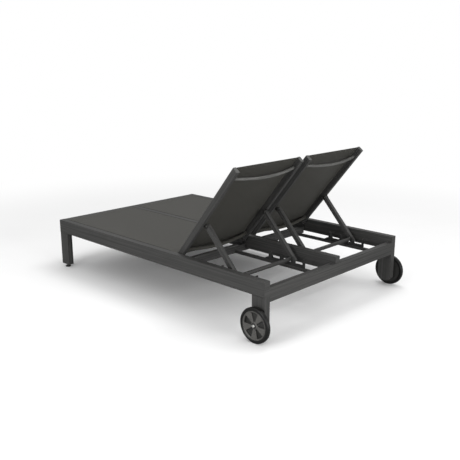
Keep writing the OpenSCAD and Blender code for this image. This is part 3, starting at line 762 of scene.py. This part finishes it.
for side_name, side in SIDES.items():
    low, high = corners(f"wheel_{side_name}")
    bush_low, bush_high = corners(f"wheel_bush_{side_name}")
    inner_x = min(abs(low[0]), abs(high[0]))
    wide = abs(high[0] - low[0])
    rim_r = (high[2] - low[2]) / 2
    bore_r = (bush_high[2] - bush_low[2]) / 2
    middle = np.array([0.0, (low[1] + high[1]) / 2, (low[2] + high[2]) / 2])
    face_x = inner_x + wide
    profile = fine(
        [
            [face_x - 0.0004, bore_r],
            [face_x, bore_r + 0.0006],
            [face_x, HUB_R - 0.001],
            [face_x - 0.0008, HUB_R],
            [face_x - 0.0026, HUB_R + 0.001],
            [face_x - 0.003, HUB_R + 0.003],
            [face_x - 0.002, rim_r - 0.0058],
            [face_x - 0.0016, rim_r - 0.0048],
            [face_x - 0.0002, rim_r - 0.0036],
            [face_x, rim_r - 0.0026],
            [face_x, rim_r - 0.0012],
            [face_x - 0.001, rim_r - 0.0001],
            [inner_x + 0.001, rim_r - 0.0001],
            [inner_x, rim_r - 0.001],
            [inner_x, bore_r + 0.0006],
            [inner_x + 0.0006, bore_r],
            [face_x - 0.0004, bore_r],
        ]
    )[:-1]

    def pockets(x, r, turn):
        """Sinks the front face into the pockets between the spokes."""
        from_up = (turn - np.pi / 2 + np.pi / POCKETS) % (2 * np.pi / POCKETS) - np.pi / POCKETS
        sideways = smooth_step((POCKET_TURN / 2 - np.abs(from_up)) * r, 0.0, 0.0035)
        inward = smooth_step(r, HUB_R + 0.0030, HUB_R + 0.0065)
        outward = smooth_step(rim_r - r, 0.0072, 0.0102)
        front_face = (x > face_x - 0.0035) & (r > HUB_R + 0.002)
        deep = 0.009 + 0.0065 * np.clip((r - HUB_R) / (rim_r - HUB_R), 0, 1)
        return x - np.where(front_face, deep * sideways * inward * outward, 0.0), r

    points = revolve(profile, TURNS, middle, side, pockets)
    wheel = make_piece(
        f"wheel_moulding_{side_name}",
        points,
        grid_faces(len(profile), TURNS, round_rows=True, round_columns=True),
    )
    face_out(wheel)
    wheel.data.materials.append(wheel_plastic)
    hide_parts(f"wheel_{side_name}")
    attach(wheel, f"wheel_{side_name}")

    low, high = corners(f"tyre_{side_name}")
    x0, x1 = min(abs(low[0]), abs(high[0])), max(abs(low[0]), abs(high[0]))
    tyre_r = (high[2] - low[2]) / 2
    mid_x = (x0 + x1) / 2
    arc = np.linspace(0, np.pi / 2, 9)
    shoulder = 0.0065
    shoulder_r = tyre_r - 0.0004 - shoulder + shoulder * np.cos(arc)
    outer = np.stack([x1 - shoulder + shoulder * np.sin(arc), shoulder_r], -1)
    inner = np.stack([x0 + shoulder - shoulder * np.sin(arc), shoulder_r], -1)
    profile = np.concatenate(
        [
            [[x0 + 0.0006, rim_r], [x0, rim_r + 0.0008]],
            inner[::-1],
            [[mid_x - 0.0009, tyre_r - 0.0004], [mid_x - 0.0003, tyre_r]],
            [[mid_x + 0.0003, tyre_r], [mid_x + 0.0009, tyre_r - 0.0004]],
            outer,
            [[x1, rim_r + 0.003], [x1 - 0.0008, rim_r + 0.0022], [x1 - 0.0008, rim_r + 0.0006]],
            [[x1 - 0.0012, rim_r]],
        ]
    )
    points = revolve(profile, TYRE_TURNS, middle, side)
    tyre = make_piece(
        f"tyre_band_{side_name}",
        points,
        grid_faces(len(profile), TYRE_TURNS, round_rows=True, round_columns=True),
    )
    face_out(tyre)
    tyre.data.materials.append(tyre_rubber)
    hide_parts(f"tyre_{side_name}")
    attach(tyre, f"wheel_{side_name}")
    print(wheel.name, len(wheel.data.polygons), "faces;", tyre.name, len(tyre.data.polygons))

dress(["hub_cap_left", "hub_cap_right"], rubber)
dress(["wheel_bush_left", "wheel_bush_right"], rubber)

# %% [markdown]
# ## Bolts
# The pivots are button-head screws: a low dome with a hexagonal socket. The head is a
# profile carried round the bolt's axis, and where the profile enters the socket its
# radius follows a hexagon, so the round dome turns into six flat walls.

# %% Button heads


def hexagon(turn, flat_r):
    """The distance from the middle to a hexagon's side, at each turn."""
    return flat_r / np.cos((turn + np.pi / 6) % (np.pi / 3) - np.pi / 6)


def button_head(middle, direction, radius, tall, shank_r, shank):
    """Points and faces of a domed head with a socket, and the shank under it."""
    arc = np.linspace(0, 1, 9)[1:]
    socket_r = radius * 0.42
    profile = [[-shank, 1e-5], [-shank, shank_r], [0.0, shank_r], [0.0, radius]]
    for t in arc:
        r = radius + (socket_r * 1.25 - radius) * t
        dome = math.sqrt(max(0.0, 1 - (r / radius) ** 2 * 0.92))
        profile.append([tall * (0.98 * dome + 0.02), r])
    top = profile[-1][0]
    profile += [[top, socket_r], [top * 0.35, socket_r], [top * 0.3, 1e-5]]
    profile = np.array(profile)
    turn = np.arange(48) * 2 * np.pi / 48
    r = np.repeat(profile[:, 1:], 48, 1)
    for row in (-3, -2):
        r[row] = hexagon(turn, socket_r * 0.92)
    x = np.repeat(profile[:, :1], 48, 1)
    points = np.stack([direction * x, r * np.cos(turn), r * np.sin(turn)], -1) + np.asarray(middle)
    return points.reshape(-1, 3), grid_faces(len(profile), 48, round_columns=True)


def bolts(name, node, body, radius, tall, shank_r):
    """A button head at both ends of each bolt of a CAD node, with the shank between."""
    low, high = corners(node)
    y, z = (low[1] + high[1]) / 2, (low[2] + high[2]) / 2
    x = np.unique(np.round([v.co[0] for v in NODES[node].data.vertices], 4))
    groups = np.split(x, np.where(np.diff(x) > 0.1)[0] + 1)
    points, faces, count = [], [], 0
    for group in groups:
        a, b = float(group.min()), float(group.max())
        for direction, head_x in ((-1.0, a), (1.0, b)):
            middle = [head_x - direction * tall, y, z]
            p, f = button_head(middle, direction, radius, tall, shank_r, (b - a) / 2 - tall)
            points.append(p)
            faces.append(f + count)
            count += len(p)
    piece = make_piece(name, np.concatenate(points), np.concatenate(faces), smooth=False)
    face_out(piece)
    piece.data.materials.append(black_zinc)
    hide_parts(node)
    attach(piece, body)


HEAD_R, HEAD_TALL, SHANK_R = 0.01, 0.003, 0.005
for side_name in SIDES:
    name, node, body = (f"{w}_{side_name}" for w in ("prop_screws", "prop_bolts", "backrest"))
    bolts(name, node, body, HEAD_R, HEAD_TALL, SHANK_R)
dress(["strut_bolts_left", "strut_bolts_right", "hinge_pins"], black_zinc)

# %% [markdown]
# ## Levelling feet
# A levelling foot is a nylon pad moulded on a threaded stud, with a hexagon above the pad
# for a spanner. Its profile is carried round the stud. The thread is drawn as close rings.

# %% Levelling feet
FOOT_TURNS = 96
for side_name in SIDES:
    low, high = corners(f"levelling_foot_{side_name}")
    pad_r = (high[0] - low[0]) / 2
    top_z = high[2]
    stud_r = 0.005
    thread_z = np.arange(0.024, top_z - 0.001, 0.00075)
    ridges = np.stack([thread_z, stud_r - 0.0004 * (np.arange(len(thread_z)) % 2)], -1)
    profile = np.concatenate(
        [
            [[0.0, 1e-5], [0.0, pad_r - 0.004], [0.0006, pad_r - 0.002], [0.0025, pad_r]],
            [[0.006, pad_r], [0.0085, pad_r - 0.0012], [0.0098, pad_r - 0.004]],
            [[0.0105, 0.0095], [0.011, 0.0085], [0.0112, 0.0078], [0.0225, 0.0078]],
            [[0.0232, 0.0068], [0.0234, stud_r]],
            ridges,
            [[top_z - 0.0004, stud_r - 0.001], [top_z, 1e-5]],
        ]
    )
    turn = np.arange(FOOT_TURNS) * 2 * np.pi / FOOT_TURNS
    z = np.repeat(profile[:, :1], FOOT_TURNS, 1)
    r = np.repeat(profile[:, 1:], FOOT_TURNS, 1)
    for row in (9, 10):
        r[row] = hexagon(turn, 0.0072)
    r[1:5] += 0.00035 * np.cos(24 * turn)
    middle = np.array([(low[0] + high[0]) / 2, (low[1] + high[1]) / 2, 0.0])
    points = np.stack([r * np.cos(turn), r * np.sin(turn), z], -1) + middle
    faces = grid_faces(len(profile), FOOT_TURNS, round_columns=True)
    foot = make_piece(f"foot_pad_{side_name}", points, faces)
    face_out(foot)
    foot.data.materials.append(rubber)
    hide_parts(f"levelling_foot_{side_name}")
    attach(foot, f"levelling_foot_{side_name}")

# %% [markdown]
# ## Floor, light and camera
# The lounger stands on a plain pale studio floor that turns into pure white further out.
# The floor sends on less light than it shows, so the shadows under the frame stay deep. A
# soft lamp high above, a little to the right side, is the main light, and two low lamps,
# past the left side and past the head end, lift the faces that look that way. The sky is
# bright overhead and dimmer towards the horizon. The camera stands past the head end, to
# the left, a little above the backrests, with a normal lens.

# %% Floor
FLOOR_BOUNCE = "a8a8a8"
floor_mesh, tree, shader = start("studio_floor", 0.75, **{"Specular IOR Level": 0.0})
place = add(tree, "TexCoord").outputs["Object"]
mottle = add(tree, "TexNoise", {"Vector": place, "Scale": 1.5, "Detail": 3.0})
pale = ramp(tree, mottle.outputs["Fac"], [(0.3, "f6f6f6"), (0.7, "f8f8f8")])
view = add(tree, "LightPath")
tone = add(tree, "Mix", {"Factor": view.outputs["Is Camera Ray"]}, data_type="RGBA")
tone.inputs[6].default_value = linear(FLOOR_BOUNCE)
tree.links.new(pale, tone.inputs[7])
tree.links.new(tone.outputs[2], shader.inputs["Base Color"])
away = add(tree, "VectorMath", {0: place}, operation="LENGTH")
fade = add(
    tree,
    "MapRange",
    {"Value": away.outputs["Value"], "From Min": 1.8, "From Max": 4.4},
    interpolation_type="SMOOTHSTEP",
)
plain = add(tree, "Emission", {"Color": (1, 1, 1, 1), "Strength": 1.0})
shown = view.outputs["Is Camera Ray"]
fade = add(tree, "Math", {0: fade.outputs["Result"], 1: shown}, operation="MULTIPLY")
blend = add(
    tree, "MixShader", {0: fade.outputs[0], 1: shader.outputs["BSDF"], 2: plain.outputs[0]}
)
tree.links.new(blend.outputs[0], tree.nodes["Material Output"].inputs["Surface"])
FLOOR_R, RINGS, FLOOR_TURNS = 40.0, 60, 72
ring = np.linspace(0, FLOOR_R, RINGS)[:, None]
turn = np.arange(FLOOR_TURNS) * 2 * np.pi / FLOOR_TURNS
points = np.stack([ring * np.cos(turn), ring * np.sin(turn), np.zeros((RINGS, FLOOR_TURNS))], -1)
floor = make_piece("studio_floor", points, grid_faces(RINGS, FLOOR_TURNS, round_columns=True))
floor.data.materials.append(floor_mesh)

# %% Lights
ZENITH, HORIZON = 0.93, 0.33
world = bpy.data.worlds.new("studio_sky")
bpy.context.scene.world = world
world.use_nodes = True
tree = world.node_tree
tree.nodes.clear()
view = add(tree, "LightPath")
ray = add(tree, "SeparateXYZ", {"Vector": add(tree, "TexCoord").outputs["Generated"]})
height = add(tree, "Math", {0: ray.outputs["Z"], 1: 0.0}, operation="MAXIMUM")
strength = add(
    tree,
    "MapRange",
    {"Value": height.outputs[0], "To Min": HORIZON, "To Max": ZENITH},
    interpolation_type="SMOOTHSTEP",
)
soft = add(tree, "Background", {"Strength": strength.outputs["Result"], "Color": (1, 1, 1, 1)})
plain = add(tree, "Background", {"Strength": 1.0, "Color": (1, 1, 1, 1)})
seen = add(
    tree,
    "MixShader",
    {0: view.outputs["Is Camera Ray"], 1: soft.outputs[0], 2: plain.outputs[0]},
)
add(tree, "OutputWorld", {"Surface": seen.outputs[0]})


def lamp(name, place, aim, size, power):
    """A square area lamp at a place, turned towards a point."""
    light = bpy.data.lights.new(name, "AREA")
    light.shape = "SQUARE"
    light.size = size
    light.energy = power
    stand = bpy.data.objects.new(name, light)
    bpy.context.scene.collection.objects.link(stand)
    ray = np.asarray(aim, float) - np.asarray(place, float)
    ray /= np.linalg.norm(ray)
    stand.location = place
    stand.rotation_euler = (math.acos(-ray[2]), 0.0, math.atan2(ray[1], ray[0]) - math.pi / 2)


lamp("key_light", (-1.0, 0.4, 4.2), (0.0, 0.0, 0.0), 2.0, 52)
lamp("side_fill", (4.6, 0.6, 1.0), (0.6, 0.4, 0.3), 2.4, 105)
lamp("head_fill", (0.6, 5.0, 0.9), (0.0, 1.0, 0.3), 2.4, 135)

# %% Camera
EYE = np.array([3.1560, 3.1407, 1.5070])
YAW, PITCH, FIELD = math.radians(-135.8), math.radians(-14.71), 38.46
lens = bpy.data.cameras.new("camera")
lens.sensor_width = 36.0
lens.angle = math.radians(FIELD)
camera = bpy.data.objects.new("camera", lens)
bpy.context.scene.collection.objects.link(camera)
camera.location = EYE
camera.rotation_euler = (math.pi / 2 + PITCH, 0.0, YAW - math.pi / 2)
bpy.context.scene.camera = camera
bpy.context.scene.view_settings.view_transform = "Standard"
